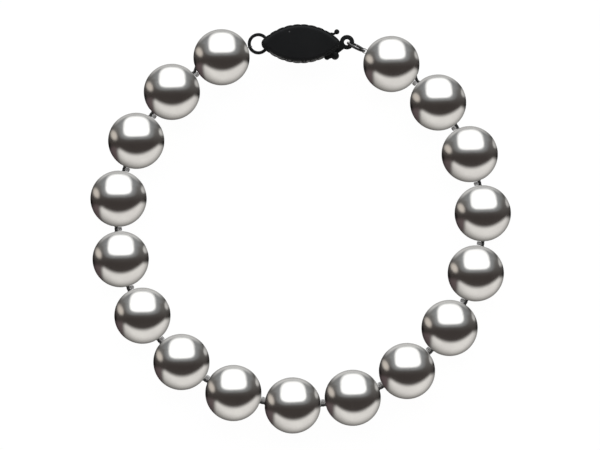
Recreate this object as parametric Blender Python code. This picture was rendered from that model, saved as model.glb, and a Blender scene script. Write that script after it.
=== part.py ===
"""A pearl bracelet lying on a surface: a knotted strand of pearls closed by a marquise fish-hook clasp.

Metres, +Z up. The origin is under the middle of the bracelet, on the surface that the pearls lie on.
The clasp is at +Y and its long axis runs along X. Everything hangs on the pearls' drill-hole height.
"""

import math

import bmesh
import bpy
from mathutils import Matrix, Vector

MM = 0.001

# Pearls and the knotted thread
PEARL_COUNT = 17
PEARL_DIAMETER = 9.5 * MM
PEARL_BORE = 1.0 * MM
KNOT_GAP = 0.715 * MM
THREAD_DIAMETER = 0.5 * MM
KNOT_LENGTH = 0.5 * MM
KNOT_WIDTH = 1.25 * MM
KNOT_HEIGHT = 1.0 * MM
KNOT_DROP = 0.58 * MM

# Jump rings, and the thread's end loops round them
RING_DIAMETER = 3.46 * MM
RING_WIRE = 0.39 * MM
RING_REACH = 0.33 * MM
RING_CLEARANCE = 0.1 * MM
LOOP_THREAD = 0.28 * MM
LOOP_CLEARANCE = 0.06 * MM
LOOP_DEPTH = 1.6 * MM
LOOP_OVERLAP = 0.25 * MM
LOOP_MOUTH_SPREAD = 0.3 * MM
LEFT_PEARL_DEG = 200.1
RIGHT_PEARL_DEG = -26.1
RIGHT_RING_DEG = -26.4
RIGHT_RING_LEAN_DEG = 12

# Clasp body
BODY_LENGTH = 13.15 * MM
BODY_WIDTH = 6.43 * MM
BODY_THICKNESS = 3.6 * MM
BODY_TIP_RADIUS = 0.9 * MM
BODY_WALL = 0.45 * MM
RIM_LIP = 0.12 * MM
RIM_HEIGHT = 0.3 * MM
CROWN_RISE = 0.3 * MM
CROWN_INSET = 0.7 * MM
SCALLOP_PITCH = 1.35 * MM
SCALLOP_DEPTH = 0.07 * MM
RING_BITE = 0.96 * MM

# Hook
EYE_DIAMETER = 2.31 * MM
EYE_HOLE = 1.11 * MM
EYE_REACH = 1.23 * MM
EYE_LIFT = 0.26 * MM
RING_SEAT = 0.195 * MM
SHANK_DEG = 37.3
SHANK_WIDTH = 0.68 * MM
HOOK_THICKNESS = 0.6 * MM
HOOK_CLEARANCE = 0.15 * MM
LOBE_DIAMETER = 0.98 * MM
BUTTON_DIAMETER = 1.38 * MM
BUTTON_SHIFT = 0.2 * MM
TAIL_BALL_DIAMETER = 0.8 * MM

# Faces round each piece
PEARL_SIDES = 16
PEARL_BANDS = 9
THREAD_SIDES = 8
LOOP_SIDES = 6
RING_SIDES = 16
WIRE_SIDES = 6
BALL_SIDES = 12
BALL_BANDS = 8
LOOP_STEPS = 6
HALVINGS = 60

# A knot's sections along the gap: place from its middle, then breadth, height and drop towards the inside
# of the loop, as shares of KNOT_LENGTH, KNOT_WIDTH, KNOT_HEIGHT and KNOT_DROP
KNOT_SECTIONS = (
    {"place": -0.50, "breadth": 0.48, "height": 0.55, "drop": 0.42},
    {"place": -0.30, "breadth": 0.90, "height": 0.92, "drop": 0.90},
    {"place": 0.00, "breadth": 1.00, "height": 1.00, "drop": 1.00},
    {"place": 0.30, "breadth": 0.90, "height": 0.92, "drop": 0.90},
    {"place": 0.50, "breadth": 0.48, "height": 0.55, "drop": 0.42},
)

# The hook's wire from the lobe to its tail: x and y as shares of the body's half length and half width, then
# breadth and thickness as shares of SHANK_WIDTH and HOOK_THICKNESS
HOOK_BEND = (
    {"x": 0.675, "y": -0.706, "breadth": 1.00, "thickness": 1.00},
    {"x": 0.640, "y": -0.520, "breadth": 0.90, "thickness": 0.90},
    {"x": 0.622, "y": -0.260, "breadth": 0.75, "thickness": 0.80},
    {"x": 0.622, "y": 0.000, "breadth": 0.65, "thickness": 0.70},
    {"x": 0.645, "y": 0.260, "breadth": 0.55, "thickness": 0.60},
    {"x": 0.700, "y": 0.460, "breadth": 0.50, "thickness": 0.55},
    {"x": 0.775, "y": 0.535, "breadth": 0.45, "thickness": 0.50},
    {"x": 0.840, "y": 0.515, "breadth": 0.45, "thickness": 0.50},
    {"x": 0.890, "y": 0.575, "breadth": 0.45, "thickness": 0.50},
    {"x": 0.925, "y": 0.632, "breadth": 0.45, "thickness": 0.50},
)

# Worked out from the sizes above
PEARL_RADIUS = PEARL_DIAMETER / 2
AXIS_HEIGHT = PEARL_RADIUS
PITCH = PEARL_DIAMETER + KNOT_GAP
RING_RADIUS = (RING_DIAMETER - RING_WIRE) / 2
MOUTH = math.sqrt(PEARL_RADIUS**2 - (PEARL_BORE / 2) ** 2)
SIDE_RADIUS = (
    ((BODY_LENGTH / 2 - BODY_TIP_RADIUS) ** 2 + (BODY_WIDTH / 2) ** 2 - BODY_TIP_RADIUS**2)
    / (BODY_WIDTH - 2 * BODY_TIP_RADIUS)
)
UP = Vector((0, 0, 1))


def direction(degrees):
    """The level unit vector at this angle from +X."""
    angle = math.radians(degrees)
    return Vector((math.cos(angle), math.sin(angle), 0))


def clear_scene():
    for obj in list(bpy.data.objects):
        bpy.data.objects.remove(obj, do_unlink=True)


def finish_material(name, colour, metallic, roughness):
    material = bpy.data.materials.new(name)
    material.use_nodes = True
    shader = material.node_tree.nodes["Principled BSDF"]
    shader.inputs["Base Color"].default_value = (*colour, 1)
    shader.inputs["Metallic"].default_value = metallic
    shader.inputs["Roughness"].default_value = roughness
    material.diffuse_color = (*colour, 1)
    return material


def object_from(name, mesh, material, crease_deg=40):
    """A smooth-shaded object of this mesh, with its edges sharp past the crease angle."""
    if not mesh.materials:
        mesh.materials.append(material)
    mesh.shade_smooth()
    mesh.set_sharp_from_angle(angle=math.radians(crease_deg))
    obj = bpy.data.objects.new(name, mesh)
    bpy.context.scene.collection.objects.link(obj)
    return obj


def mesh_from(name, bm):
    bmesh.ops.recalc_face_normals(bm, faces=bm.faces)
    mesh = bpy.data.meshes.new(name)
    bm.to_mesh(mesh)
    bm.free()
    return mesh


def helper_from(name, mesh):
    """A cutter or a shape to join, which shows only as wires."""
    obj = bpy.data.objects.new(name, mesh)
    bpy.context.scene.collection.objects.link(obj)
    obj.hide_render = True
    obj.display_type = "WIRE"
    return obj


def combine(obj, operation, helpers):
    for helper in helpers:
        modifier = obj.modifiers.new(helper.name, "BOOLEAN")
        modifier.operation = operation
        modifier.solver = "EXACT"
        modifier.object = helper


def loft(name, rings):
    """A closed mesh through rings of equally many points, with flat ends."""
    bm = bmesh.new()
    loops = [[bm.verts.new(point) for point in ring] for ring in rings]
    for near, far in zip(loops, loops[1:]):
        for i in range(len(near)):
            j = (i + 1) % len(near)
            bm.faces.new((near[i], near[j], far[j], far[i]))
    bm.faces.new(loops[0])
    bm.faces.new(loops[-1])
    return mesh_from(name, bm)


def oval(centre, across, rise, half_breadth, half_height, sides):
    """The points of one round or oval section, with a flat facing each way across."""
    points = []
    for i in range(sides):
        angle = 2 * math.pi * (i + 0.5) / sides
        points.append(
            centre + across * half_breadth * math.cos(angle) + rise * half_height * math.sin(angle)
        )
    return points


def tangents(path):
    ends = [path[0]] + path + [path[-1]]
    return [(after - before).normalized() for before, after in zip(ends, ends[2:])]


def round_sweep(name, path, normal, radius, sides):
    """A round tube along a path that lies in the plane with this normal."""
    rings = []
    for point, tangent in zip(path, tangents(path)):
        rings.append(oval(point, normal.cross(tangent), normal, radius, radius, sides))
    return loft(name, rings)


def flat_sweep(name, path, breadths, thicknesses, clearance):
    """A strip of rectangular section along a level path, grown on every side by the clearance."""
    rings = []
    for point, tangent, breadth, thickness in zip(path, tangents(path), breadths, thicknesses):
        across = UP.cross(tangent) * (breadth / 2 + clearance)
        rise = UP * (thickness / 2 + clearance)
        corners = (across + rise, rise - across, -across - rise, across - rise)
        rings.append([point + corner for corner in corners])
    return loft(name, rings)


def disc(name, centre, radius, thickness, sides):
    bm = bmesh.new()
    bmesh.ops.create_cone(
        bm,
        cap_ends=True,
        segments=sides,
        radius1=radius,
        radius2=radius,
        depth=thickness,
        matrix=Matrix.Translation(centre),
    )
    return mesh_from(name, bm)


def ball(name, centre, radius):
    bm = bmesh.new()
    bmesh.ops.create_uvsphere(
        bm,
        u_segments=BALL_SIDES,
        v_segments=BALL_BANDS,
        radius=radius,
        matrix=Matrix.Translation(centre),
    )
    return mesh_from(name, bm)


def ring_mesh(name, wire_radius):
    """A ring about local Z, whose wire is turned round its middle line."""
    bm = bmesh.new()
    section = []
    for i in range(WIRE_SIDES):
        angle = 2 * math.pi * i / WIRE_SIDES
        out = RING_RADIUS + wire_radius * math.cos(angle)
        section.append(bm.verts.new((out, 0, wire_radius * math.sin(angle))))
    edges = [bm.edges.new((section[i - 1], section[i])) for i in range(WIRE_SIDES)]
    turn(bm, section + edges, UP, RING_SIDES)
    return mesh_from(name, bm)


def turn(bm, profile, axis, steps):
    """Turns a closed profile right round an axis through the origin."""
    bmesh.ops.spin(bm, geom=profile, cent=(0, 0, 0), axis=axis, angle=2 * math.pi, steps=steps, use_merge=True)
    bmesh.ops.remove_doubles(bm, verts=bm.verts, dist=0.0001 * MM)


def pearl_mesh():
    """A drilled pearl turned about its drill axis, local X.

    Its faces touch the true sphere, and one of them is level at the bottom, so the pearl rests on it.
    """
    mouth_angle = math.asin(PEARL_BORE / PEARL_DIAMETER)
    band = (math.pi - 2 * mouth_angle) / PEARL_BANDS
    corner = PEARL_RADIUS / math.cos(band / 2)
    side = 1 / math.cos(math.pi / PEARL_SIDES)
    first_side = math.pi / PEARL_SIDES
    bm = bmesh.new()
    section = []
    for i in range(PEARL_BANDS + 1):
        angle = mouth_angle + i * band
        out = corner * math.sin(angle) * side
        section.append(
            bm.verts.new((corner * math.cos(angle), out * math.sin(first_side), -out * math.cos(first_side)))
        )
    edges = [bm.edges.new((section[i - 1], section[i])) for i in range(len(section))]
    turn(bm, section + edges, Vector((1, 0, 0)), PEARL_SIDES)
    return mesh_from("pearl", bm)


def half_outline(inset):
    """The marquise's edge from the right tip to the left tip: its length, and a function that gives the point
    at each length along it, moved in by the inset."""
    tip_centre = BODY_LENGTH / 2 - BODY_TIP_RADIUS
    side_centre = SIDE_RADIUS - BODY_WIDTH / 2
    join = math.atan2(side_centre, tip_centre)
    tip_length = BODY_TIP_RADIUS * join
    side_length = SIDE_RADIUS * (math.pi - 2 * join)

    def point(length):
        if length <= tip_length:
            angle = length / BODY_TIP_RADIUS
            radius = BODY_TIP_RADIUS - inset
            return tip_centre + radius * math.cos(angle), radius * math.sin(angle)
        if length <= tip_length + side_length:
            angle = join + (length - tip_length) / SIDE_RADIUS
            radius = SIDE_RADIUS - inset
            return radius * math.cos(angle), radius * math.sin(angle) - side_centre
        x, y = point(2 * tip_length + side_length - length)
        return -x, y

    return 2 * tip_length + side_length, point


def marquise(inset, height, notch=0.0):
    """The body's outline at one height, moved in by the inset, with every second point in a scallop's notch."""
    half_length = half_outline(0)[0]
    scallops = 2 * round(half_length / SCALLOP_PITCH)
    points = []
    for i in range(2 * scallops):
        depth = inset + (notch if i % 2 else 0)
        length = half_length * (i % scallops) / scallops
        x, y = half_outline(depth)[1](length)
        sign = 1 if i < scallops else -1
        points.append(Vector((sign * x, sign * y, height)))
    return points


def body_meshes():
    """The body's outside, with a scalloped rim above and below its side band, and its hollow."""
    top = BODY_THICKNESS / 2
    rim_top = top - CROWN_RISE
    rim_foot = rim_top - RIM_HEIGHT
    outside = [
        marquise(CROWN_INSET, -top),
        marquise(0, -rim_top, SCALLOP_DEPTH),
        marquise(0, -rim_foot, SCALLOP_DEPTH),
        marquise(RIM_LIP, -rim_foot + RIM_LIP),
        marquise(RIM_LIP, rim_foot - RIM_LIP),
        marquise(0, rim_foot, SCALLOP_DEPTH),
        marquise(0, rim_top, SCALLOP_DEPTH),
        marquise(CROWN_INSET, top),
    ]
    hollow_top = rim_top - BODY_WALL
    hollow_inset = RIM_LIP + BODY_WALL
    hollow = [marquise(hollow_inset, -hollow_top), marquise(hollow_inset, hollow_top)]
    return loft("clasp_body", outside), loft("body_hollow", hollow)


def shank_line():
    """A point beside the body, the way along the shank to the lobe, and the way out from the body."""
    out = direction(SHANK_DEG - 90)
    along = direction(SHANK_DEG + 180)
    side_centre = Vector((0, SIDE_RADIUS - BODY_WIDTH / 2, 0))
    band = side_centre + out * (SIDE_RADIUS - RIM_LIP)
    return band, along, out


def hook_places():
    """The hook's eye, button, lobe and tail ball, and its wire's path with breadths and thicknesses."""
    half_length = BODY_LENGTH / 2
    half_width = BODY_WIDTH / 2
    eye = Vector((half_length + EYE_REACH, EYE_LIFT, 0))
    band, along, out = shank_line()
    foot = band + out * (HOOK_CLEARANCE + SHANK_WIDTH / 2)
    bend = [Vector((row["x"] * half_length, row["y"] * half_width, 0)) for row in HOOK_BEND]
    to_eye = (eye - foot).dot(-along)
    start = foot - along * (to_eye - (EYE_DIAMETER + EYE_HOLE) / 4)
    to_lobe = (bend[0] - foot).dot(along)
    path = [start, foot, foot + along * (to_lobe - SHANK_WIDTH)] + bend
    straight = len(path) - len(bend)
    breadths = [SHANK_WIDTH] * straight + [row["breadth"] * SHANK_WIDTH for row in HOOK_BEND]
    thicknesses = [HOOK_THICKNESS] * straight + [row["thickness"] * HOOK_THICKNESS for row in HOOK_BEND]
    button = band + out * (HOOK_CLEARANCE + BUTTON_DIAMETER / 2) + along * BUTTON_SHIFT
    return {
        "eye": eye,
        "button": button,
        "lobe": bend[0],
        "tail": bend[-1],
        "path": path,
        "breadths": breadths,
        "thicknesses": thicknesses,
        "straight": straight,
    }


def ring_places():
    """The two rings' middles, beside the body's left tip and in the hook's eye."""
    left = Vector((-BODY_LENGTH / 2 + RING_BITE - RING_RADIUS, 0, 0))
    right = hook_places()["eye"] + direction(RIGHT_RING_DEG) * (RING_SEAT + RING_RADIUS)
    return left, right


def pearl_places():
    """Each pearl's middle: the end pearls reach the rings, and the rest close the circle at one pitch."""
    reach = RING_RADIUS + RING_REACH + PEARL_RADIUS
    left, right = ring_places()
    first = left + direction(LEFT_PEARL_DEG) * reach
    last = right + direction(RIGHT_PEARL_DEG) * reach
    span = (last - first).length
    steps = PEARL_COUNT - 1
    low = max(PITCH, span) / 2
    high = PITCH * PEARL_COUNT
    for _ in range(HALVINGS):
        radius = (low + high) / 2
        turned = 2 * steps * math.asin(PITCH / 2 / radius) + 2 * math.asin(span / 2 / radius)
        if turned > 2 * math.pi:
            low = radius
        else:
            high = radius
    along = (last - first).normalized()
    inward = along.cross(UP)
    centre = (first + last) / 2 + inward * math.sqrt(radius**2 - (span / 2) ** 2)
    step = 2 * math.asin(PITCH / 2 / radius)
    return [centre + Matrix.Rotation(i * step, 3, "Z") @ (first - centre) for i in range(PEARL_COUNT)]


def bore_ways(places):
    """The way along each pearl's bore, anticlockwise. The end pearls' bores point at the rings."""
    left, right = ring_places()
    ways = [(places[0] - left).normalized()]
    for before, after in zip(places, places[2:]):
        ways.append((after - before).normalized())
    ways.append((right - places[-1]).normalized())
    return ways


def thread_rings(places, ways):
    """The thread's sections: straight through each bore, with a knot in each gap."""
    radius = THREAD_DIAMETER / 2
    doubled = LOOP_THREAD + LOOP_CLEARANCE / 2
    deep = MOUTH - LOOP_DEPTH

    def round_section(point, way, size):
        return oval(point, UP.cross(way), UP, size, size, THREAD_SIDES)

    rings = [
        round_section(places[0] - ways[0] * deep, ways[0], doubled),
        round_section(places[0] - ways[0] * (deep - 2 * THREAD_DIAMETER), ways[0], doubled),
        round_section(places[0] - ways[0] * (deep - 3 * THREAD_DIAMETER), ways[0], radius),
    ]
    for i in range(len(places) - 1):
        near = places[i] + ways[i] * MOUTH
        far = places[i + 1] - ways[i + 1] * MOUTH
        rings.append(round_section(near, ways[i], radius))
        rings += knot_rings(near, far, (places[i + 1] - places[i]).normalized())
        rings.append(round_section(far, ways[i + 1], radius))
    rings += [
        round_section(places[-1] + ways[-1] * (deep - 3 * THREAD_DIAMETER), ways[-1], radius),
        round_section(places[-1] + ways[-1] * (deep - 2 * THREAD_DIAMETER), ways[-1], doubled),
        round_section(places[-1] + ways[-1] * deep, ways[-1], doubled),
    ]
    return rings


def knot_rings(near, far, along):
    """The sections of the knot between two bore mouths, which bulges towards the inside of the loop."""
    inward = UP.cross(along)
    gap = (far - near).dot(along)
    rings = []
    for row in KNOT_SECTIONS:
        share = 0.5 + row["place"] * KNOT_LENGTH / gap
        middle = near.lerp(far, share) + inward * row["drop"] * KNOT_DROP
        half_breadth = row["breadth"] * KNOT_WIDTH / 2
        half_height = row["height"] * KNOT_HEIGHT / 2
        rings.append(oval(middle, inward, UP, half_breadth, half_height, THREAD_SIDES))
    return rings


def loop_mesh(name, pearl, way, spread):
    """An end loop: a thinner thread out of the bore, round a ring's wire and back, opening along spread."""
    wrap = RING_WIRE / 2 + LOOP_CLEARANCE + LOOP_THREAD / 2
    together = LOOP_THREAD / 2 + LOOP_CLEARANCE / 4
    wire = PEARL_RADIUS + RING_REACH
    deep = MOUTH - LOOP_DEPTH
    leg = [(deep - LOOP_OVERLAP, together), (deep + LOOP_OVERLAP, together), (MOUTH, LOOP_MOUTH_SPREAD)]
    bend = []
    for i in range(LOOP_STEPS + 1):
        angle = math.pi * (0.5 - i / LOOP_STEPS)
        bend.append((wire + wrap * math.cos(angle), wrap * math.sin(angle)))
    back = [(out, -side) for out, side in reversed(leg)]
    path = [pearl + way * out + spread * side for out, side in leg + bend + back]
    return round_sweep(name, path, way.cross(spread), LOOP_THREAD / 2, LOOP_SIDES)


def make_pearls(places, ways, material):
    mesh = pearl_mesh()
    pearls = []
    for i, (place, way) in enumerate(zip(places, ways)):
        pearl = object_from(f"pearl_{i + 1:02d}", mesh, material)
        pearl.location = place
        pearl.rotation_euler.z = math.atan2(way.y, way.x)
        pearls.append(pearl)
    return pearls


def make_thread(places, ways, material):
    thread = object_from("silk_thread", loft("silk_thread", thread_rings(places, ways)), material)
    left = helper_from("left_loop", loop_mesh("left_loop", places[0], -ways[0], UP))
    level = UP.cross(ways[-1])
    right = helper_from("right_loop", loop_mesh("right_loop", places[-1], ways[-1], level))
    combine(thread, "UNION", [left, right])
    return [thread, left, right]


def make_rings(dark, polished):
    left_place, right_place = ring_places()
    left = object_from("jump_ring_left", ring_mesh("jump_ring_left", RING_WIRE / 2), dark)
    left.location = left_place
    right = object_from("jump_ring_right", ring_mesh("jump_ring_right", RING_WIRE / 2), polished)
    right.location = right_place
    right.rotation_euler = (math.radians(90 + RIGHT_RING_LEAN_DEG), 0, math.radians(RIGHT_RING_DEG))
    return [left, right]


def make_hook(material):
    at = hook_places()
    hook = object_from(
        "clasp_hook", flat_sweep("clasp_hook", at["path"], at["breadths"], at["thicknesses"], 0), material, 30
    )
    eye = helper_from("eye_disc", disc("eye_disc", at["eye"], EYE_DIAMETER / 2, HOOK_THICKNESS, RING_SIDES))
    lobe = helper_from("lobe_disc", disc("lobe_disc", at["lobe"], LOBE_DIAMETER / 2, HOOK_THICKNESS, BALL_SIDES))
    button = helper_from("button_ball", ball("button_ball", at["button"], BUTTON_DIAMETER / 2))
    tail = helper_from("tail_ball", ball("tail_ball", at["tail"], TAIL_BALL_DIAMETER / 2))
    hole = helper_from("eye_hole", disc("eye_hole", at["eye"], EYE_HOLE / 2, 2 * HOOK_THICKNESS, RING_SIDES))
    combine(hook, "UNION", [eye, lobe, button, tail])
    combine(hook, "DIFFERENCE", [hole])
    return [hook, eye, lobe, button, tail, hole]


def make_body(material):
    """The hollow body, cut through where the left ring and the hook's bend pass."""
    at = hook_places()
    outside, hollow_shape = body_meshes()
    body = object_from("clasp_body", outside, material, 30)
    hollow = helper_from("body_hollow", hollow_shape)
    ring_way = helper_from("ring_way", ring_mesh("ring_way", RING_WIRE / 2 + RING_CLEARANCE))
    ring_way.location = ring_places()[0]
    first = at["straight"]
    slot = flat_sweep(
        "hook_way", at["path"][first:], at["breadths"][first:], at["thicknesses"][first:], HOOK_CLEARANCE
    )
    hook_way = helper_from("hook_way", slot)
    lobe_radius = LOBE_DIAMETER / 2 + HOOK_CLEARANCE
    lobe_height = HOOK_THICKNESS + 2 * HOOK_CLEARANCE
    lobe_way = helper_from("lobe_way", disc("lobe_way", at["lobe"], lobe_radius, lobe_height, BALL_SIDES))
    combine(body, "DIFFERENCE", [hollow, ring_way, hook_way, lobe_way])
    return [body, hollow, ring_way, hook_way, lobe_way]


def stand_on_origin(objects):
    """Moves everything so that the origin is under the middle of the whole, at the pearls' lowest faces."""
    bpy.context.view_layer.update()
    solids = [obj for obj in objects if not obj.hide_render]
    corners = [obj.matrix_world @ vertex.co for obj in solids for vertex in obj.data.vertices]
    middle_x = (min(c.x for c in corners) + max(c.x for c in corners)) / 2
    middle_y = (min(c.y for c in corners) + max(c.y for c in corners)) / 2
    for obj in objects:
        obj.location += Vector((-middle_x, -middle_y, AXIS_HEIGHT))


def main():
    clear_scene()
    nacre = finish_material("pearl_nacre", (0.52, 0.51, 0.50), 0.75, 0.22)
    black = finish_material("clasp_black", (0.015, 0.015, 0.017), 0.6, 0.45)
    polished = finish_material("ring_polished", (0.13, 0.13, 0.135), 1.0, 0.15)
    silk = finish_material("thread_silk", (0.05, 0.05, 0.05), 0.0, 0.7)
    places = pearl_places()
    ways = bore_ways(places)
    objects = make_pearls(places, ways, nacre)
    objects += make_thread(places, ways, silk)
    objects += make_rings(black, polished)
    objects += make_hook(black)
    objects += make_body(black)
    stand_on_origin(objects)


main()
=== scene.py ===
"""Looks of the pearl bracelet: round pearls, knotted silk, jump rings and a blackened marquise clasp.

Metres, +Z up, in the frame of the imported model. The camera looks straight down on the bracelet.
"""

import math

import bmesh
import bpy
from mathutils import Matrix, Vector


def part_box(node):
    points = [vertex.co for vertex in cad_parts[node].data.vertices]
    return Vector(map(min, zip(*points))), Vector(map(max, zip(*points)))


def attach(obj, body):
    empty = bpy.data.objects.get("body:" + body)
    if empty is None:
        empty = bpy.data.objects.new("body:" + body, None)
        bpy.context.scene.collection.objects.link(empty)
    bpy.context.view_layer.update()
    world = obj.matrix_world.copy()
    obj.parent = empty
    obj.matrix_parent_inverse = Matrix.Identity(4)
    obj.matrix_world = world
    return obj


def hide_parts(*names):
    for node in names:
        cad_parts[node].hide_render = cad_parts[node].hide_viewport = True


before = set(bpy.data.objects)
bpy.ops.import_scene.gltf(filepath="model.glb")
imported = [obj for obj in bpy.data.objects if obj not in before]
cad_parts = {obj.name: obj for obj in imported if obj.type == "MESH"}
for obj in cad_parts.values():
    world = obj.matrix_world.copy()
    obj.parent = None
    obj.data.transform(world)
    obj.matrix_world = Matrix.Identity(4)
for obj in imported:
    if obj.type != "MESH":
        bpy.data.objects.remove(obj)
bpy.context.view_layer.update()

MM = 0.001
UP = Vector((0, 0, 1))

# Edges that bend more than this are sharp
CREASE_DEG = 35

# Pearls
PEARL_COUNT = 17
PEARL_BORE = 1.0 * MM
MOUTH_ROUND = 0.09 * MM
PEARL_SIDES = 96
PEARL_BANDS = 56
PEARL_CREASE_DEG = 60

# Knotted silk. STRAND_OUT and KNOT_OUT are measured outward from the line between two pearls' centres
STRAND_DIAMETER = 0.54 * MM
STRAND_OUT = 0.61 * MM
STRAND_BEND_DEPTH = 0.6 * MM
STRAND_SIDES = 16
STRAND_STEPS = 6
KNOT_DIAMETER = 0.88 * MM
KNOT_STRAND = 0.26 * MM
KNOT_TURNS = 3
KNOT_TURN_STEPS = 28
KNOT_SPAN = 0.46 * MM
KNOT_CROWDING = 0.45
KNOT_TAPER = 0.2
KNOT_OUT = 0.01 * MM
PLY_COUNT = 3
PLY_PITCH = 0.55 * MM
PLY_DEPTH = 0.16

# Jump rings. SOLID_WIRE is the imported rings' wire, whose middle circle the drawn rings share
SOLID_WIRE = 0.39 * MM
RING_WIRE = 0.56 * MM
RIGHT_RING_WIRE = 0.44 * MM
RIGHT_RING_LEAN_DEG = 12
RIGHT_RING_DEG = -26.4
RING_STEPS = 96
RING_SIDES = 20
RING_JOINT_DEG = 1.2
LEFT_JOINT_DEG = 15
RIGHT_JOINT_DEG = 265

# The thread's end loops. RING_REACH goes from the end pearl's surface to the middle of the ring's wire
RING_REACH = 0.33 * MM
LOOP_THREAD = 0.13 * MM
LOOP_CLEARANCE = 0.02 * MM
LOOP_DEPTH = 1.6 * MM
LOOP_SIDES = 12
LOOP_STEPS = 5

# One leg of an end loop: depth below the bore's mouth and distance from the bore's axis
LOOP_LEG = (
    {"depth": LOOP_DEPTH, "aside": 0.1 * MM},
    {"depth": 0.5 * MM, "aside": 0.2 * MM},
    {"depth": 0.0, "aside": 0.29 * MM},
)

# Clasp body. The scallops' notches grow to their full depth over SCALLOP_FADE from each tip
TIP_RADIUS = 0.9 * MM
BODY_WALL = 0.45 * MM
HOLLOW_HALF_HEIGHT = 1.05 * MM
HOLLOW_POINTS = 4
RIM_LIP = 0.12 * MM
SCALLOP_PITCH = 1.35 * MM
SCALLOP_DEPTH = 0.09 * MM
SCALLOP_FADE = 2.0 * MM
SCALLOP_POINTS = 14
NOTCH_SHARPNESS = 1.6
RING_CLEARANCE = 0.1 * MM
BEAD_PITCH = 0.27 * MM
BEAD_DIAMETER = 0.13 * MM
BEAD_INSET = 0.19 * MM
BEAD_HEIGHT = 1.49 * MM
BEAD_CREASE_DEG = 90

# Hook
EYE_DIAMETER = 2.46 * MM
EYE_HOLE = 1.0 * MM
EYE_ROUND = 0.05 * MM
EYE_CORNER = 0.22 * MM
EYE_REACH = 1.23 * MM
EYE_LIFT = 0.26 * MM
HOLE_OVERLAP = 0.01 * MM
SHANK_DEG = 37.3
SHANK_WIDTH = 0.68 * MM
HOOK_THICKNESS = 0.6 * MM
HOOK_ROUND = 0.14 * MM
HOOK_STEPS = 6
LOBE_DIAMETER = 0.98 * MM
LOBE_CORNER = 0.2 * MM
BUTTON_DIAMETER = 1.38 * MM
BUTTON_SHIFT = 0.2 * MM
TAIL_BALL_DIAMETER = 0.88 * MM
WEB_CLEARANCE = 0.05 * MM
WEB_BACK = 0.9 * MM
WEB_STEPS = 12

# Room between the hook and the body, and the hook's way through it
HOOK_CLEARANCE = 0.15 * MM
WAY_CORNER = 0.1 * MM
WAY_STEPS = 5

# Where the clasp's blackening is rubbed through to bright metal, only along its lower edge, partly as a
# painted highlight line: past its side's arc, and from the body's middle in height, y and x
WORN_EDGE_HIGHLIGHT = {
    "edge": {"none": -0.24 * MM, "full": -0.13 * MM},
    "height": {"none": 1.1 * MM, "full": 1.2 * MM},
    "lower": {"none": -0.2 * MM, "full": -0.9 * MM},
    "left": {"none": -5.6 * MM, "full": -4.6 * MM},
    "right": {"none": 4.3 * MM, "full": 3.2 * MM},
}

# A small light dot of bright metal on the clasp's face, from the body's middle, and how far from it the
# brightening ends and is full
LIGHT_DOT_PLACE = Vector((-1.90 * MM, 1.96 * MM, 0))
LIGHT_DOT_REACH = {"none": 0.16 * MM, "full": 0.08 * MM}
LIGHT_DOT_SHARE = 0.45

# Studio. Places are where a ball shows them to a viewer overhead, as shares of the ball's radius
STUDIO_STRENGTH = 1.9
WINDOW_LIGHT = (1.1, 1.1, 1.1, 1)
WINDOW_X = 0.017
WINDOW_Y = 0.45
WINDOW_WIDE = 0.478
WINDOW_LEAN = 0.07
WINDOW_SLOPE = 0.03
WINDOW_BELOW = {"tall": 0.318, "power": 4.0}
WINDOW_ABOVE = {"tall": 0.446, "power": 2.7}

# Floor
FLOOR_RADIUS = 4.0
FLOOR_DROP = 0.02 * MM

# Camera: the photograph's middle on the bracelet, and how much it takes in at the pearls' height
IMAGE_MIDDLE = Vector((-0.095 * MM, 0.724 * MM, 0))
IMAGE_WIDTH = 101.25 * MM
LENS_MM = 200
SENSOR_MM = 36

# The body's upper half, from the middle of its side band to the flat of its crown: inset from the outline
# and height above the middle in millimetres, and the share of the scallops' depth
BODY_ROWS = (
    {"inset": 0.12, "height": 0.00, "scallop": 0.0},
    {"inset": 0.12, "height": 1.02, "scallop": 0.0},
    {"inset": 0.10, "height": 1.12, "scallop": 0.0},
    {"inset": -0.02, "height": 1.18, "scallop": 0.7},
    {"inset": -0.05, "height": 1.24, "scallop": 1.0},
    {"inset": -0.05, "height": 1.40, "scallop": 1.0},
    {"inset": -0.02, "height": 1.46, "scallop": 1.0},
    {"inset": 0.05, "height": 1.49, "scallop": 0.8},
    {"inset": 0.25, "height": 1.49, "scallop": 0.0},
    {"inset": 0.28, "height": 1.50, "scallop": 0.0},
    {"inset": 0.31, "height": 1.56, "scallop": 0.0},
    {"inset": 0.36, "height": 1.64, "scallop": 0.0},
    {"inset": 0.43, "height": 1.71, "scallop": 0.0},
    {"inset": 0.52, "height": 1.76, "scallop": 0.0},
    {"inset": 0.64, "height": 1.79, "scallop": 0.0},
    {"inset": 0.80, "height": 1.80, "scallop": 0.0},
)

# The hook's wire from the lobe to its tail: x and y as shares of the body's half length and half width,
# then breadth and thickness as shares of SHANK_WIDTH and HOOK_THICKNESS
HOOK_BEND = (
    {"x": 0.675, "y": -0.706, "breadth": 1.00, "thickness": 1.00},
    {"x": 0.640, "y": -0.520, "breadth": 0.90, "thickness": 0.90},
    {"x": 0.622, "y": -0.260, "breadth": 0.75, "thickness": 0.80},
    {"x": 0.622, "y": 0.000, "breadth": 0.65, "thickness": 0.70},
    {"x": 0.645, "y": 0.260, "breadth": 0.55, "thickness": 0.60},
    {"x": 0.700, "y": 0.460, "breadth": 0.55, "thickness": 0.55},
    {"x": 0.775, "y": 0.535, "breadth": 0.60, "thickness": 0.50},
    {"x": 0.840, "y": 0.515, "breadth": 0.60, "thickness": 0.50},
    {"x": 0.890, "y": 0.575, "breadth": 0.60, "thickness": 0.50},
    {"x": 0.925, "y": 0.632, "breadth": 0.60, "thickness": 0.50},
)


# Places, read from the frame


def middle(node):
    low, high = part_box(node)
    return (low + high) / 2


def direction(degrees):
    angle = math.radians(degrees)
    return Vector((math.cos(angle), math.sin(angle), 0))


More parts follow.
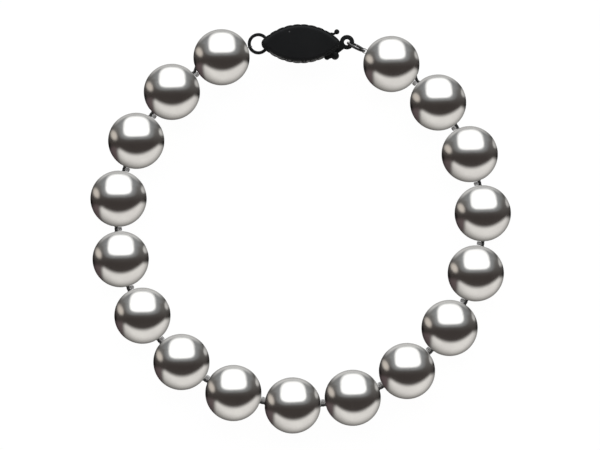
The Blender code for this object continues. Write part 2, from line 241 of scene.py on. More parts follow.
PEARLS = [f"pearl_{i + 1:02d}" for i in range(PEARL_COUNT)]
PEARL_PLACES = [middle(name) for name in PEARLS]
PEARL_RADIUS = (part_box("pearl_01")[1].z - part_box("pearl_01")[0].z) / 2
LEFT_RING = middle("jump_ring_left")
RIGHT_RING = middle("jump_ring_right")
RING_RADIUS = (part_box("jump_ring_left")[1].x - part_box("jump_ring_left")[0].x - SOLID_WIRE) / 2
BODY = middle("clasp_body")
HALF_LENGTH = (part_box("clasp_body")[1].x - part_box("clasp_body")[0].x) / 2
HALF_WIDTH = (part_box("clasp_body")[1].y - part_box("clasp_body")[0].y) / 2
MOUTH = math.sqrt(PEARL_RADIUS**2 - (PEARL_BORE / 2) ** 2)

# The marquise's outline: an arc round each tip and a longer one along each side, and its length tip to tip
TIP_CENTRE = HALF_LENGTH - TIP_RADIUS
SIDE_RADIUS = (TIP_CENTRE**2 + HALF_WIDTH**2 - TIP_RADIUS**2) / (2 * (HALF_WIDTH - TIP_RADIUS))
SIDE_CENTRE = SIDE_RADIUS - HALF_WIDTH
EDGE_JOIN = math.atan2(SIDE_CENTRE, TIP_CENTRE)
TIP_LENGTH = TIP_RADIUS * EDGE_JOIN
EDGE_LENGTH = 2 * TIP_LENGTH + SIDE_RADIUS * (math.pi - 2 * EDGE_JOIN)


def bore_ways():
    """The way along each pearl's bore, anticlockwise. The end pearls' bores point at the rings."""
    ways = [(PEARL_PLACES[0] - LEFT_RING).normalized()]
    for before, after in zip(PEARL_PLACES, PEARL_PLACES[2:]):
        ways.append((after - before).normalized())
    ways.append((RIGHT_RING - PEARL_PLACES[-1]).normalized())
    return ways


# Materials


class Nodes:
    """Short calls for the nodes of one tree. Values are numbers, colours or other nodes' outputs."""

    def __init__(self, tree):
        self.tree = tree

    def add(self, kind, inputs=(), **settings):
        node = self.tree.nodes.new(kind)
        for name, value in settings.items():
            setattr(node, name, value)
        self.fill(node, inputs)
        return node

    def fill(self, node, inputs):
        for key, value in dict(inputs).items():
            if isinstance(value, bpy.types.NodeSocket):
                self.tree.links.new(value, node.inputs[key])
            else:
                node.inputs[key].default_value = value

    def math(self, operation, *values):
        return self.add("ShaderNodeMath", dict(enumerate(values)), operation=operation).outputs[0]

    def plus(self, first, second):
        return self.math("ADD", first, second)

    def minus(self, first, second):
        return self.math("SUBTRACT", first, second)

    def times(self, first, second):
        return self.math("MULTIPLY", first, second)

    def length(self, x, y):
        return self.math("SQRT", self.plus(self.times(x, x), self.times(y, y)))

    def rise(self, value, low, high):
        """0 below low, 1 above high and smooth between them. It falls instead where low is above high."""
        inputs = {"Value": value, "From Min": low, "From Max": high}
        return self.add("ShaderNodeMapRange", inputs, interpolation_type="SMOOTHSTEP").outputs[0]

    def mix(self, share, first, second):
        return self.add("ShaderNodeMix", {0: share, 6: first, 7: second}, data_type="RGBA").outputs[2]

    def noise(self, vector, scale, detail, roughness=0.5):
        inputs = {"Vector": vector, "Scale": scale, "Detail": detail, "Roughness": roughness}
        return self.add("ShaderNodeTexNoise", inputs).outputs["Fac"]

    def bump(self, height, strength, distance):
        inputs = {"Height": height, "Strength": strength, "Distance": distance}
        return self.add("ShaderNodeBump", inputs).outputs["Normal"]


def grey(level, warmth=0.0, pink=0.0):
    """A linear colour from a display level of 0 to 255.

    Warmth raises red and lowers blue, and pink raises red and lowers green.
    """

    def linear(value):
        value = max(value, 0) / 255
        return value / 12.92 if value <= 0.04045 else ((value + 0.055) / 1.055) ** 2.4

    return (linear(level + warmth + pink), linear(level - pink), linear(level - warmth), 1)


def material(name):
    made = bpy.data.materials.new(name)
    made.use_nodes = True
    return made, Nodes(made.node_tree), made.node_tree.nodes["Principled BSDF"]


def nacre_material():
    """Silver-grey nacre: metallic depth under a clear skin, with faint clouding and growth texture."""
    made, nodes, shader = material("pearl_nacre")
    place = nodes.add("ShaderNodeTexCoord").outputs["Object"]
    cloud = nodes.noise(place, 420.0, 3.0)
    growth = nodes.noise(place, 1500.0, 4.0, 0.6)
    ripple = nodes.noise(place, 160.0, 2.0)
    relief = nodes.plus(nodes.times(growth, 0.12), ripple)
    darker = (0.518, 0.513, 0.503, 1)
    lighter = (0.556, 0.554, 0.540, 1)
    nodes.fill(shader, {
        "Base Color": nodes.mix(nodes.rise(cloud, 0.3, 0.7), darker, lighter),
        "Normal": nodes.bump(relief, 0.25, 0.02 * MM),
        "Metallic": 1.0,
        "Roughness": 0.17,
        "Specular Tint": (0.35, 0.35, 0.35, 1),
        "Coat Weight": 0.1,
        "Coat Roughness": 0.08,
    })
    return made


def black_material():
    """Blackened metal, satin, with faint scratches; bright metal shows along the lower edge only, partly
    rubbed and partly a painted highlight line, and on one small light dot.
    """
    made, nodes, shader = material("blackened_metal")
    spot = nodes.add("ShaderNodeNewGeometry").outputs["Position"]
    stretched = nodes.add("ShaderNodeMapping", {"Vector": spot, "Scale": (1, 9, 1)}).outputs[0]
    scratch = nodes.noise(stretched, 900.0, 3.0)
    smudge = nodes.noise(spot, 300.0, 3.0)
    # bright metal along the lower edge, partly rubbed and partly a painted highlight line, and a small light
    # dot
    bright_metal = bright_metal_mask(nodes, spot)
    black = nodes.mix(nodes.rise(smudge, 0.3, 0.7), grey(30, -1), grey(33, -1))
    rough = nodes.add("ShaderNodeMapRange", {"Value": smudge, "To Min": 0.48, "To Max": 0.62})
    nodes.fill(shader, {
        "Base Color": nodes.mix(bright_metal, black, grey(125)),
        "Metallic": bright_metal,
        "Roughness": rough.outputs[0],
        "Normal": nodes.bump(scratch, 0.2, 0.006 * MM),
        "IOR": 1.12,
    })
    return made


def bright_metal_mask(nodes, spot):
    """How far the black gives way to bright metal: up to 1 along the clasp's lower edge, partly rubbed and
    partly a painted highlight line, less on a small light dot of its face.
    """
    x, y, z = nodes.add("ShaderNodeSeparateXYZ", {"Vector": spot}).outputs

    def distance(centre_x, centre_y):
        return nodes.length(nodes.minus(x, centre_x), nodes.minus(y, centre_y))

    def fade_in(value, zero, limits):
        return nodes.rise(value, zero + limits["none"], zero + limits["full"])

    past_arc = nodes.minus(distance(BODY.x, BODY.y + SIDE_CENTRE), SIDE_RADIUS)
    high = fade_in(z, BODY.z, WORN_EDGE_HIGHLIGHT["height"])
    # bright metal only along the lower edge: partly rubbed, partly a painted highlight line
    line = nodes.times(fade_in(past_arc, 0, WORN_EDGE_HIGHLIGHT["edge"]), high)
    line = nodes.times(line, fade_in(y, BODY.y, WORN_EDGE_HIGHLIGHT["lower"]))
    line = nodes.times(line, fade_in(x, BODY.x, WORN_EDGE_HIGHLIGHT["left"]))
    line = nodes.times(line, fade_in(x, BODY.x, WORN_EDGE_HIGHLIGHT["right"]))
    line = nodes.times(line, nodes.rise(nodes.noise(spot, 2600.0, 2.0), 0.34, 0.54))
    # a small light dot of bright metal on the face
    light_dot_place = BODY + LIGHT_DOT_PLACE
    light_dot = fade_in(distance(light_dot_place.x, light_dot_place.y), 0, LIGHT_DOT_REACH)
    return nodes.math("MAXIMUM", line, nodes.times(nodes.times(light_dot, LIGHT_DOT_SHARE), high))


def dark_metal_material():
    """Dark metal with a polish, slightly hazed, which shows the studio's lights as thin lines."""
    made, nodes, shader = material("dark_polished_metal")
    spot = nodes.add("ShaderNodeTexCoord").outputs["Object"]
    haze = nodes.noise(spot, 1400.0, 3.0)
    nodes.fill(shader, {
        "Base Color": nodes.mix(haze, (0.03, 0.03, 0.031, 1), (0.05, 0.05, 0.052, 1)),
        "Normal": nodes.bump(haze, 0.15, 0.006 * MM),
        "Metallic": 1.0,
        "Roughness": 0.14,
    })
    return made


def silk_material(name, dark, light, sheen):
    """Silk with fine fibre streaks between a dark and a light grey."""
    made, nodes, shader = material(name)
    spot = nodes.add("ShaderNodeTexCoord").outputs["Object"]
    fibre = nodes.noise(spot, 9000.0, 3.0, 0.7)
    nodes.fill(shader, {
        "Base Color": nodes.mix(nodes.rise(fibre, 0.35, 0.65), dark, light),
        "Normal": nodes.bump(fibre, 0.5, 0.02 * MM),
        "Roughness": 0.5,
        "Sheen Weight": sheen,
        "Sheen Roughness": 0.4,
    })
    return made


# Meshes


def new_object(name, data):
    obj = bpy.data.objects.new(name, data)
    bpy.context.scene.collection.objects.link(obj)
    return obj


def object_from(name, mesh, finish, slot, *nodes):
    """A piece of the object that stands for these nodes of the frame.

    No piece shows in another's reflections, as on the photograph.
    """
    obj = new_object(name, mesh)
    mesh.materials.append(finish)
    obj.visible_glossy = False
    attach(obj, "root")
    if nodes:
        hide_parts(*nodes)
    return obj


def shade(mesh, crease_deg):
    """Smooth shading, with sharp edges where the surface bends more than the crease angle."""
    mesh.shade_smooth()
    mesh.set_sharp_from_angle(angle=math.radians(crease_deg))


def mesh_from(name, bm, crease_deg=CREASE_DEG):
    bmesh.ops.recalc_face_normals(bm, faces=bm.faces)
    mesh = bpy.data.meshes.new(name)
    bm.to_mesh(mesh)
    bm.free()
    shade(mesh, crease_deg)
    return mesh


def loft_into(bm, rings, closed=False):
    """Adds a tube through rings of equally many points, with flat ends unless it closes on itself."""
    loops = [[bm.verts.new(point) for point in ring] for ring in rings]
    pairs = list(zip(loops, loops[1:]))
    if closed:
        pairs.append((loops[-1], loops[0]))
    for near, far in pairs:
        for i in range(len(near)):
            j = (i + 1) % len(near)
            bm.faces.new((near[i], near[j], far[j], far[i]))
    if not closed:
        bm.faces.new(loops[0])
        bm.faces.new(loops[-1])


def lathe_into(bm, centre, axis, profile, sides, closed=False):
    """Adds a profile of (along, out) points turned about an axis through the centre.

    An open profile starts and ends on the axis.
    """
    across = axis.orthogonal().normalized()
    rings = []
    for i in range(sides):
        out_way = Matrix.Rotation(2 * math.pi * i / sides, 3, axis) @ across
        rings.append([centre + axis * along + out_way * out for along, out in profile])
    if closed:
        loft_into(bm, rings, closed=True)
        return
    first = bm.verts.new(centre + axis * profile[0][0])
    last = bm.verts.new(centre + axis * profile[-1][0])
    loops = [[bm.verts.new(point) for point in ring[1:-1]] for ring in rings]
    for near, far in zip(loops, loops[1:] + loops[:1]):
        for i in range(len(near) - 1):
            bm.faces.new((near[i], near[i + 1], far[i + 1], far[i]))
        bm.faces.new((first, near[0], far[0]))
        bm.faces.new((last, far[-1], near[-1]))


def smooth_path(points, steps):
    """A Catmull-Rom curve through the points."""
    ends = [2 * points[0] - points[1]] + list(points) + [2 * points[-1] - points[-2]]
    path = []
    for a, b, c, d in zip(ends, ends[1:], ends[2:], ends[3:]):
        square = 2 * a - 5 * b + 4 * c - d
        cube = 3 * b - a - 3 * c + d
        for i in range(steps):
            t = i / steps
            path.append(0.5 * (2 * b + (c - a) * t + square * t**2 + cube * t**3))
    return path + [points[-1]]


def tangents_along(path):
    neighbours = zip([path[0]] + path, path[1:] + [path[-1]])
    return [(after - before).normalized() for before, after in neighbours]


def ply_tube_into(bm, path, radius, sides, turn=0.0):
    """Adds a tube of twisted plies along a path, with a frame carried along without twist of its own."""
    tangents = tangents_along(path)
    across = tangents[0].orthogonal().normalized()
    rings = []
    length = 0.0
    for i, (point, tangent) in enumerate(zip(path, tangents)):
        across = (across - tangent * across.dot(tangent)).normalized()
        rise = tangent.cross(across)
        if i:
            length += (point - path[i - 1]).length
        twist = turn + 2 * math.pi * length / PLY_PITCH
        ring = []
        for j in range(sides):
            angle = 2 * math.pi * j / sides
            groove = abs(math.sin(PLY_COUNT / 2 * (angle - twist))) ** 3
            out = radius * (1 - PLY_DEPTH * groove)
            ring.append(point + across * out * math.cos(angle) + rise * out * math.sin(angle))
        rings.append(ring)
    loft_into(bm, rings)


def pearl_mesh(name, place, way):
    """A round pearl about its drill axis, with the bore's mouths slightly rounded."""
    mouth = PEARL_BORE / 2
    start = math.asin((mouth + MOUTH_ROUND) / PEARL_RADIUS)
    profile = []
    for i in range(PEARL_BANDS + 1):
        angle = start + (math.pi - 2 * start) * i / PEARL_BANDS
        profile.append((PEARL_RADIUS * math.cos(angle), PEARL_RADIUS * math.sin(angle)))
    lip = PEARL_RADIUS * math.cos(start)
    bore = [(lip - MOUTH_ROUND, mouth), (lip - 0.3 * MOUTH_ROUND, mouth + 0.2 * MOUTH_ROUND)]
    profile += [(-along, out) for along, out in reversed(bore)] + bore
    bm = bmesh.new()
    lathe_into(bm, place, way, profile, PEARL_SIDES, closed=True)
    return mesh_from(name, bm, PEARL_CREASE_DEG)


def make_pearls(finish):
    for name, place, way in zip(PEARLS, PEARL_PLACES, bore_ways()):
        object_from("round_" + name, pearl_mesh(name, place, way), finish, "pearl", name)


def gap_frames(ways):
    """For each gap: its two bore mouths, its centre, the way across it and the way out of the loop."""
    frames = []
    for i in range(PEARL_COUNT - 1):
        near = PEARL_PLACES[i] + ways[i] * MOUTH
        far = PEARL_PLACES[i + 1] - ways[i + 1] * MOUTH
        along = (PEARL_PLACES[i + 1] - PEARL_PLACES[i]).normalized()
        centre = (PEARL_PLACES[i] + PEARL_PLACES[i + 1]) / 2
        frames.append((near, far, centre, along, along.cross(UP)))
    return frames


def make_strand(ways, finish):
    """The thread from the first bore to the last.

    It lies against the inner edges of the bores' mouths and runs straight across each gap.
    """
    side = (PEARL_BORE - STRAND_DIAMETER) / 2
    points = [PEARL_PLACES[0] - ways[0] * (MOUTH - LOOP_DEPTH), PEARL_PLACES[0]]
    for i, (near, far, centre, _, out) in enumerate(gap_frames(ways)):
        points.append(near - ways[i] * STRAND_BEND_DEPTH)
        points += [near - out * side, centre + out * STRAND_OUT, far - out * side]
        points.append(far + ways[i + 1] * STRAND_BEND_DEPTH)
        points.append(PEARL_PLACES[i + 1])
    points.append(PEARL_PLACES[-1] + ways[-1] * (MOUTH - LOOP_DEPTH))
    bm = bmesh.new()
    ply_tube_into(bm, smooth_path(points, STRAND_STEPS), STRAND_DIAMETER / 2, STRAND_SIDES)
    object_from("silk_strand", mesh_from("silk_strand", bm), finish, "thread", "silk_thread")


def make_knots(ways, finish):
    """A wound knot in each gap, about a line on the inner side of the strand.

    Its windings crowd towards its two ends and get slightly narrower there.
    """
    wound = (KNOT_DIAMETER - KNOT_STRAND) / 2
    steps = KNOT_TURN_STEPS * KNOT_TURNS
    for number, (_, _, centre, along, out) in enumerate(gap_frames(ways)):
        path = []
        for i in range(steps + 1):
            share = i / steps
            angle = 2 * math.pi * KNOT_TURNS * share
            end = abs(2 * share - 1)
            place = math.copysign(end**KNOT_CROWDING, 2 * share - 1)
            reach = wound * (1 - KNOT_TAPER * end**2)
            side = out * (KNOT_OUT + reach * math.cos(angle)) + UP * reach * math.sin(angle)
            path.append(centre + side + along * KNOT_SPAN / 2 * place)
        bm = bmesh.new()
        ply_tube_into(bm, path, KNOT_STRAND / 2, STRAND_SIDES, turn=number)
        name = f"silk_knot_{number + 1:02d}"
        object_from(name, mesh_from(name, bm), finish, "thread")


def make_end_loop(name, pearl, way, spread, finish):
    """A thinner thread out of the bore, round a ring's wire and back, opening along spread."""
    wrap = RING_WIRE / 2 + LOOP_CLEARANCE + LOOP_THREAD / 2
    wire = PEARL_RADIUS + RING_REACH
    leg = [(MOUTH - row["depth"], row["aside"]) for row in LOOP_LEG]
    turn = []
    for i in range(7):
        angle = math.radians(90 - 30 * i)
        turn.append((wire + wrap * math.cos(angle), wrap * math.sin(angle)))
    back = [(out, -side) for out, side in reversed(leg)]
    points = [pearl + way * out + spread * side for out, side in leg + turn + back]
    bm = bmesh.new()
    ply_tube_into(bm, smooth_path(points, LOOP_STEPS), LOOP_THREAD / 2, LOOP_SIDES)
    object_from(name, mesh_from(name, bm), finish, "thread")


def ring_mesh(name, joint_deg, radius):
    """A ring about local Z, of wire with this radius. Its ends nearly meet at the joint's angle."""
    gap = math.radians(RING_JOINT_DEG)
    rings = []
    for i in range(RING_STEPS + 1):
        angle = math.radians(joint_deg) + gap / 2 + (2 * math.pi - gap) * i / RING_STEPS
        out_way = Vector((math.cos(angle), math.sin(angle), 0))
        ring = []
        for j in range(RING_SIDES):
            around = 2 * math.pi * j / RING_SIDES
            out = RING_RADIUS + radius * math.cos(around)
            ring.append(out_way * out + UP * radius * math.sin(around))
        rings.append(ring)
    bm = bmesh.new()
    loft_into(bm, rings)
    return mesh_from(name, bm)


def make_rings(black, polished):
    mesh = ring_mesh("ring_left", LEFT_JOINT_DEG, RING_WIRE / 2)
    left = object_from("ring_left", mesh, black, "black_metal", "jump_ring_left")
    left.location = LEFT_RING
    mesh = ring_mesh("ring_right", RIGHT_JOINT_DEG, RIGHT_RING_WIRE / 2)
    right = object_from("ring_right", mesh, polished, "dark_metal", "jump_ring_right")
    right.location = RIGHT_RING
    right.rotation_euler = (math.radians(90 + RIGHT_RING_LEAN_DEG), 0, math.radians(RIGHT_RING_DEG))


# The clasp


def edge_point(length, inset):
    """A point of the marquise's edge, this far along it from the right tip, moved in by the inset."""
    mirrored = length > EDGE_LENGTH / 2
    if mirrored:
        length = EDGE_LENGTH - length
    if length <= TIP_LENGTH:
        angle = length / TIP_RADIUS
        x = TIP_CENTRE + (TIP_RADIUS - inset) * math.cos(angle)
        y = (TIP_RADIUS - inset) * math.sin(angle)
    else:
        angle = EDGE_JOIN + (length - TIP_LENGTH) / SIDE_RADIUS
        x = (SIDE_RADIUS - inset) * math.cos(angle)
        y = (SIDE_RADIUS - inset) * math.sin(angle) - SIDE_CENTRE
    return (-x if mirrored else x), y


def marquise(inset, height, scallop, points_per_scallop=SCALLOP_POINTS):
    """The body's outline at one height. The notches between its scallops get shallower near the tips."""
    per_side = round(EDGE_LENGTH / SCALLOP_PITCH) * points_per_scallop
    ring = []
    for i in range(2 * per_side):
        phase = i / points_per_scallop
        length = EDGE_LENGTH * (i % per_side) / per_side
        fade = min(1, length / SCALLOP_FADE, (EDGE_LENGTH - length) / SCALLOP_FADE) ** 2
        notch = fade * (1 - abs(math.cos(math.pi * phase))) ** NOTCH_SHARPNESS
        x, y = edge_point(length, inset + scallop * SCALLOP_DEPTH * notch)
        sign = 1 if i < per_side else -1
        ring.append(BODY + Vector((sign * x, sign * y, height)))
    return ring


def shank_line():
    """A point beside the body, the way along the shank to the lobe, and the way out from the body."""
    out = direction(SHANK_DEG - 90)
    along = direction(SHANK_DEG + 180)
    side_centre = BODY + Vector((0, SIDE_CENTRE, 0))
    return side_centre + out * (SIDE_RADIUS - RIM_LIP), along, out


def hook_path():
    """The hook's wire from the eye to the tail: its points, their breadths and thicknesses, and the eye."""
    eye = BODY + Vector((HALF_LENGTH + EYE_REACH, EYE_LIFT, 0))
    band, along, out = shank_line()
    foot = band + out * (HOOK_CLEARANCE + SHANK_WIDTH / 2)
    bend = [BODY + Vector((row["x"] * HALF_LENGTH, row["y"] * HALF_WIDTH, 0)) for row in HOOK_BEND]
    to_eye = (eye - foot).dot(-along)
    to_lobe = (bend[0] - foot).dot(along)
    straight = [
        foot - along * (to_eye - (EYE_DIAMETER + EYE_HOLE) / 4),
        foot,
        foot + along * (to_lobe - SHANK_WIDTH),
    ]
    sizes = [(SHANK_WIDTH, HOOK_THICKNESS)] * len(straight)
    sizes += [(row["breadth"] * SHANK_WIDTH, row["thickness"] * HOOK_THICKNESS) for row in HOOK_BEND]
    return straight + bend, sizes, eye


def slab_into(bm, edges, corner):
    """Adds a slab with rounded edges from rows of a left point, a right point and the thickness."""
    rings = []
    for left, right, thickness in edges:
        breadth = (left - right).length
        across = (left - right).normalized()
        rounding = min(corner, 0.45 * breadth, 0.45 * thickness)
        ring = []
        for k, (side, level) in enumerate(((1, 1), (-1, 1), (-1, -1), (1, -1))):
            for i in range(4):
                angle = math.radians(90 * k + 30 * i)
                x = side * (breadth / 2 - rounding) + rounding * math.cos(angle)
                z = level * (thickness / 2 - rounding) + rounding * math.sin(angle)
                ring.append((left + right) / 2 + across * x + UP * z)
        rings.append(ring)
    loft_into(bm, rings)


def strip_into(bm, points, sizes, steps, grow, corner):
    """Adds a strip of these breadths and thicknesses along a level path, grown on every side."""
    path = smooth_path(points, steps)
    widths = []
    for near, far in zip(sizes, sizes[1:]):
        for i in range(steps):
            share = i / steps
            widths.append([a + (b - a) * share for a, b in zip(near, far)])
    widths.append(sizes[-1])
    edges = []
    for point, tangent, (breadth, thickness) in zip(path, tangents_along(path), widths):
        half = UP.cross(tangent) * (breadth / 2 + grow)
        edges.append((point + half, point - half, thickness + 2 * grow))
    slab_into(bm, edges, corner)


def web_edges():
    """The web that fills the shank's inner side, close along the body's band and round its tip."""
    _, along, out = shank_line()
    side_centre = BODY + Vector((0, SIDE_CENTRE, 0))
    tip_centre = BODY + Vector((TIP_CENTRE, 0, 0))
    side_reach = SIDE_RADIUS - RIM_LIP + WEB_CLEARANCE
    tip_reach = TIP_RADIUS - RIM_LIP + WEB_CLEARANCE
    outer = SIDE_RADIUS - RIM_LIP + HOOK_CLEARANCE + SHANK_WIDTH / 2
    tip_out = (tip_centre - side_centre).dot(out)
    tip_way = (side_centre - tip_centre).dot(along)
    edges = []
    for i in range(WEB_STEPS + 1):
        way = -WEB_BACK + (tip_way + tip_reach + WEB_BACK) * i / WEB_STEPS
        inner = math.sqrt(side_reach**2 - way**2)
        if way > tip_way:
            inner = min(inner, tip_out + math.sqrt(max(tip_reach**2 - (way - tip_way) ** 2, 0)))
        foot = side_centre - along * way
        edges.append((foot + out * outer, foot + out * inner, HOOK_THICKNESS))
    return edges


def puck_profile(radius, thickness, corner):
    """Half the outline of a flat disc with rounded edges, from the axis out and back."""
    half = thickness / 2
    profile = [(-half, 0)]
    for side, first_deg in ((-1, -90), (1, 0)):
        for i in range(7):
            angle = math.radians(first_deg + 15 * i)
            along = side * (half - corner) + corner * math.sin(angle)
            profile.append((along, radius - corner + corner * math.cos(angle)))
    return profile + [(half, 0)]


def ball_profile(radius, bands=24):
    angles = [math.pi * i / bands for i in range(bands + 1)]
    return [(-radius * math.cos(angle), radius * math.sin(angle)) for angle in angles]


def helper(name, build):
    """An object for a Boolean, which removes it. The build function fills its mesh."""
    bm = bmesh.new()
    build(bm)
    return new_object(name, mesh_from(name, bm))


def apply_booleans(obj, operation, helpers):
    """Joins or cuts with each helper, keeps the result in the mesh and removes the helpers."""
    for other in helpers:
        modifier = obj.modifiers.new(other.name, "BOOLEAN")
        modifier.operation = operation
        modifier.solver = "EXACT"
        modifier.object = other
    evaluated = obj.evaluated_get(bpy.context.evaluated_depsgraph_get())
    mesh = bpy.data.meshes.new_from_object(evaluated)
    obj.modifiers.clear()
    obj.data = mesh
    for other in helpers:
        bpy.data.objects.remove(other, do_unlink=True)
    shade(mesh, CREASE_DEG)


def make_hook(black):
    """The fish hook: shank, bend and tail in one strip, joined with its web, eye, lobe and two balls."""
    points, sizes, eye = hook_path()
    lobe = points[-len(HOOK_BEND)]
    band, along, out = shank_line()
    button = band + out * (HOOK_CLEARANCE + BUTTON_DIAMETER / 2) + along * BUTTON_SHIFT
    bm = bmesh.new()
    strip_into(bm, points, sizes, HOOK_STEPS, 0, HOOK_ROUND)
    hook = object_from("fish_hook", mesh_from("fish_hook", bm), black, "black_metal", "clasp_hook")
    eye_shape = puck_profile(EYE_DIAMETER / 2, HOOK_THICKNESS, EYE_CORNER)
    lobe_shape = puck_profile(LOBE_DIAMETER / 2, HOOK_THICKNESS, LOBE_CORNER)
    button_shape = ball_profile(BUTTON_DIAMETER / 2)
    tail_shape = ball_profile(TAIL_BALL_DIAMETER / 2)
    apply_booleans(hook, "UNION", [
        helper("web", lambda bm: slab_into(bm, web_edges(), HOOK_ROUND)),
        helper("eye", lambda bm: lathe_into(bm, eye, UP, eye_shape, 64)),
        helper("lobe", lambda bm: lathe_into(bm, lobe, UP, lobe_shape, 48)),
        helper("button", lambda bm: lathe_into(bm, button, UP, button_shape, 48)),
        helper("tail", lambda bm: lathe_into(bm, points[-1], UP, tail_shape, 40)),
    ])
    flare = EYE_HOLE / 2 + EYE_ROUND
    reach = HOOK_THICKNESS / 2
    upper = [
        (reach - EYE_ROUND, EYE_HOLE / 2),
        (reach + HOLE_OVERLAP, flare),
        (2 * reach, flare),
        (2 * reach, 0),
    ]
    hole_shape = [(-along, out) for along, out in reversed(upper)] + upper
    apply_booleans(hook, "DIFFERENCE", [helper("hole", lambda bm: lathe_into(bm, eye, UP, hole_shape, 64))])


def make_body(black):
    """The clasp's hollow body, with a scalloped rim, open where the left ring and the hook's bend pass."""
    rows = [dict(row, height=-row["height"]) for row in reversed(BODY_ROWS[1:])] + list(BODY_ROWS)
    bm = bmesh.new()
    loft_into(bm, [marquise(row["inset"] * MM, row["height"] * MM, row["scallop"]) for row in rows])
    body = object_from("marquise_body", mesh_from("marquise_body", bm), black, "black_metal", "clasp_body")
    points, sizes, _ = hook_path()
    first = len(points) - len(HOOK_BEND)
    lobe_width = LOBE_DIAMETER + 2 * HOOK_CLEARANCE
    lobe_shape = puck_profile(lobe_width / 2, HOOK_THICKNESS + 2 * HOOK_CLEARANCE, LOBE_CORNER)

    def hollow(bm):
        inset = RIM_LIP + BODY_WALL
        heights = (-HOLLOW_HALF_HEIGHT, HOLLOW_HALF_HEIGHT)
        loft_into(bm, [marquise(inset, height, 0, HOLLOW_POINTS) for height in heights])

    def ring_way(bm):
        wire = RING_WIRE / 2 + RING_CLEARANCE
        section = []
        for i in range(16):
            angle = 2 * math.pi * i / 16
            section.append((wire * math.sin(angle), RING_RADIUS + wire * math.cos(angle)))
        lathe_into(bm, LEFT_RING, UP, section, 64, closed=True)

    def hook_way(bm):
        strip_into(bm, points[first:], sizes[first:], WAY_STEPS, HOOK_CLEARANCE, WAY_CORNER)

    apply_booleans(body, "DIFFERENCE", [
        helper("hollow", hollow),
        helper("ring_way", ring_way),
        helper("hook_way", hook_way),
        helper("lobe_way", lambda bm: lathe_into(bm, points[first], UP, lobe_shape, 32)),
    ])


def make_rim_beads(black):
    """A line of tiny beads along the land of the rim, above and below."""
    per_side = round(EDGE_LENGTH / BEAD_PITCH)
    bm = bmesh.new()
    for height in (BEAD_HEIGHT, -BEAD_HEIGHT):
        for sign in (1, -1):
            for i in range(per_side):
                x, y = edge_point(EDGE_LENGTH * i / per_side, BEAD_INSET)
                place = Matrix.Translation(BODY + Vector((sign * x, sign * y, height)))
                bmesh.ops.create_icosphere(bm, subdivisions=2, radius=BEAD_DIAMETER / 2, matrix=place)
    object_from("rim_beads", mesh_from("rim_beads", bm, BEAD_CREASE_DEG), black, "black_metal")


# Studio


def studio_world():
    """A studio round the bracelet: a tall window of light behind it, a pale front and a dark camera side.

    The light is laid out by the half-way vector between a direction and straight up. That vector's x and y
    are where a ball shows that direction to a viewer overhead, as shares of the ball's radius. The vector up
    is slightly longer than 1, so that straight down has a half-way vector too.
    """
    world = bpy.data.worlds.new("studio")
    bpy.context.scene.world = world
    world.use_nodes = True
    nodes = Nodes(world.node_tree)
    world.node_tree.nodes.clear()
    way = nodes.add("ShaderNodeTexCoord").outputs["Generated"]
    raised = nodes.add("ShaderNodeVectorMath", {0: way, 1: (0, 0, 1.0001)}, operation="ADD").outputs[0]
    half = nodes.add("ShaderNodeVectorMath", {0: raised}, operation="NORMALIZE").outputs[0]
    x, y, _ = nodes.add("ShaderNodeSeparateXYZ", {"Vector": half}).outputs
    light = painted_light(nodes, x, y)
    glow = nodes.add("ShaderNodeBackground", {"Color": light, "Strength": STUDIO_STRENGTH})
    plain = nodes.add("ShaderNodeBackground", {"Color": (1, 1, 1, 1), "Strength": 1.0})
    seen = nodes.add("ShaderNodeLightPath").outputs["Is Camera Ray"]
    surface = nodes.add("ShaderNodeMixShader", {0: seen, 1: glow.outputs[0], 2: plain.outputs[0]})
    nodes.add("ShaderNodeOutputWorld", {"Surface": surface.outputs[0]})


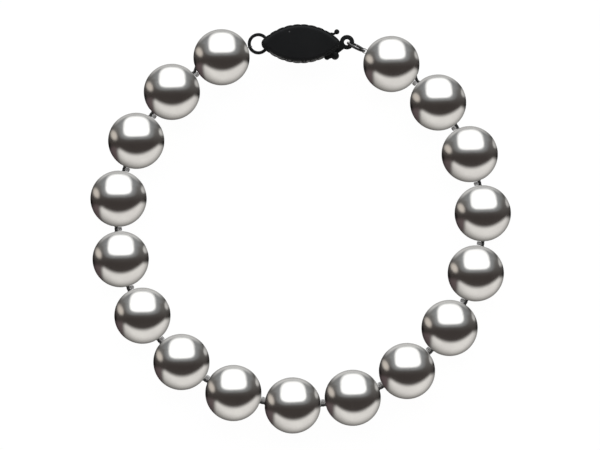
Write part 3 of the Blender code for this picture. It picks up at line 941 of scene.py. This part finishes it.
def painted_light(nodes, x, y):
    """The studio's light at one place of the ball, from its darkest parts to the window."""

    def oval(centre_x, centre_y, wide, tall, power=2.0, lean=0.0):
        """Grows from 0 at the centre through 1 on the oval's edge; its top leans to the left."""
        up = nodes.minus(y, centre_y)
        side = nodes.plus(nodes.minus(x, centre_x), nodes.times(up, lean))
        across = nodes.math("POWER", nodes.math("ABSOLUTE", nodes.math("DIVIDE", side, wide)), power)
        along = nodes.math("POWER", nodes.math("ABSOLUTE", nodes.math("DIVIDE", up, tall)), power)
        return nodes.plus(across, along)

    def window_half(name):
        """One of the window's measures, which differ below and above its middle."""
        step = WINDOW_ABOVE[name] - WINDOW_BELOW[name]
        return nodes.math("MULTIPLY_ADD", nodes.math("GREATER_THAN", y, WINDOW_Y), step, WINDOW_BELOW[name])

    out = nodes.length(x, y)

    # dark camera side, rising to the greys beside the window and falling off at the sides
    light = nodes.mix(nodes.rise(y, -0.15, 0.45), grey(52, 3, 1), grey(97, 2))
    rim = nodes.times(nodes.rise(out, 0.88, 0.96), nodes.rise(nodes.math("ABSOLUTE", x), 0.5, 0.9))
    light = nodes.mix(nodes.times(rim, nodes.rise(y, 0.1, -0.1)), light, grey(24))

    # the window, rounder and taller above its middle, with a halo
    centre_y = nodes.math("MULTIPLY_ADD", x, WINDOW_SLOPE, WINDOW_Y)
    window = oval(WINDOW_X, centre_y, WINDOW_WIDE, window_half("tall"), window_half("power"), WINDOW_LEAN)
    light = nodes.mix(nodes.rise(window, 4.0, 1.0), light, grey(128, -1))
    light = nodes.mix(nodes.rise(window, 1.14, 0.58), light, WINDOW_LIGHT)

    # grey above the window, a warm patch at the left and a slit at the right
    tipped = nodes.minus(y, nodes.times(x, 0.08))
    top = nodes.times(nodes.rise(out, 0.86, 0.95), nodes.rise(tipped, 0.5, 0.85))
    patch = oval(-0.78, 0.2, wide=0.12, tall=0.18, lean=0.3)
    slit = oval(0.89, 0.40, wide=0.1, tall=0.2)
    light = nodes.mix(top, light, grey(225, 1))
    light = nodes.mix(nodes.rise(patch, 1.6, 0.1), light, grey(186, 8))
    light = nodes.mix(nodes.rise(slit, 1.3, 0.3), light, grey(205, 2))

    # the pale front, with a curved upper edge, ends at the left in a dark warm zone
    bent = nodes.minus(nodes.math("MINIMUM", nodes.math("MAXIMUM", x, -0.56), 0.8), 0.03)
    curve = nodes.minus(nodes.plus(y, 0.475), nodes.times(nodes.times(bent, bent), 0.6))
    far = nodes.length(nodes.minus(x, 0.11), y)
    pale = nodes.mix(nodes.rise(far, 0.7, 1.1), grey(210, 3), grey(123, 3))
    warm = nodes.times(nodes.rise(curve, 0.14, -0.04), nodes.rise(x, -0.6, -0.75))
    front = nodes.times(nodes.rise(curve, 0.06, -0.11), nodes.rise(x, -0.73, -0.57))
    return nodes.mix(front, nodes.mix(warm, light, grey(82, 3, 4)), pale)


def make_floor():
    """A plain, nearly white floor, just below the pearls, that doesn't show in their reflections."""
    bm = bmesh.new()
    bmesh.ops.create_circle(bm, cap_ends=True, segments=128, radius=FLOOR_RADIUS)
    mesh = bpy.data.meshes.new("floor")
    bm.to_mesh(mesh)
    bm.free()
    floor = new_object("floor", mesh)
    floor.location.z = -FLOOR_DROP
    made, nodes, shader = material("pale_floor")
    nodes.fill(shader, {
        "Base Color": (0.06, 0.06, 0.06, 1),
        "Roughness": 0.9,
        "Specular IOR Level": 0.0,
        "Emission Color": (1, 1, 1, 1),
        "Emission Strength": 0.97,
    })
    mesh.materials.append(made)
    floor.visible_glossy = False
    floor.visible_shadow = False


def make_camera():
    data = bpy.data.cameras.new("overhead")
    data.lens = LENS_MM
    data.sensor_width = SENSOR_MM
    data.clip_start = 0.01
    data.clip_end = 20
    camera = new_object("overhead", data)
    height = IMAGE_WIDTH * LENS_MM / SENSOR_MM
    camera.location = IMAGE_MIDDLE + UP * (PEARL_RADIUS + height)
    bpy.context.scene.camera = camera


def main():
    ways = bore_ways()
    black = black_material()
    # One thread in two greys: the strand and end loops darker as painted shade, the knots lighter as painted
    # light
    silk = silk_material("silk_painted_shade", grey(14), grey(30), 0.0)
    lit_knot_silk = silk_material("silk_painted_light", grey(152), grey(196), 0.2)
    make_pearls(nacre_material())
    make_strand(ways, silk)
    make_knots(ways, lit_knot_silk)
    make_end_loop("end_loop_left", PEARL_PLACES[0], -ways[0], UP, silk)
    make_end_loop("end_loop_right", PEARL_PLACES[-1], ways[-1], UP.cross(ways[-1]), silk)
    make_rings(black, dark_metal_material())
    make_body(black)
    make_rim_beads(black)
    make_hook(black)
    studio_world()
    make_floor()
    make_camera()
    bpy.context.scene.view_settings.view_transform = "Standard"


main()
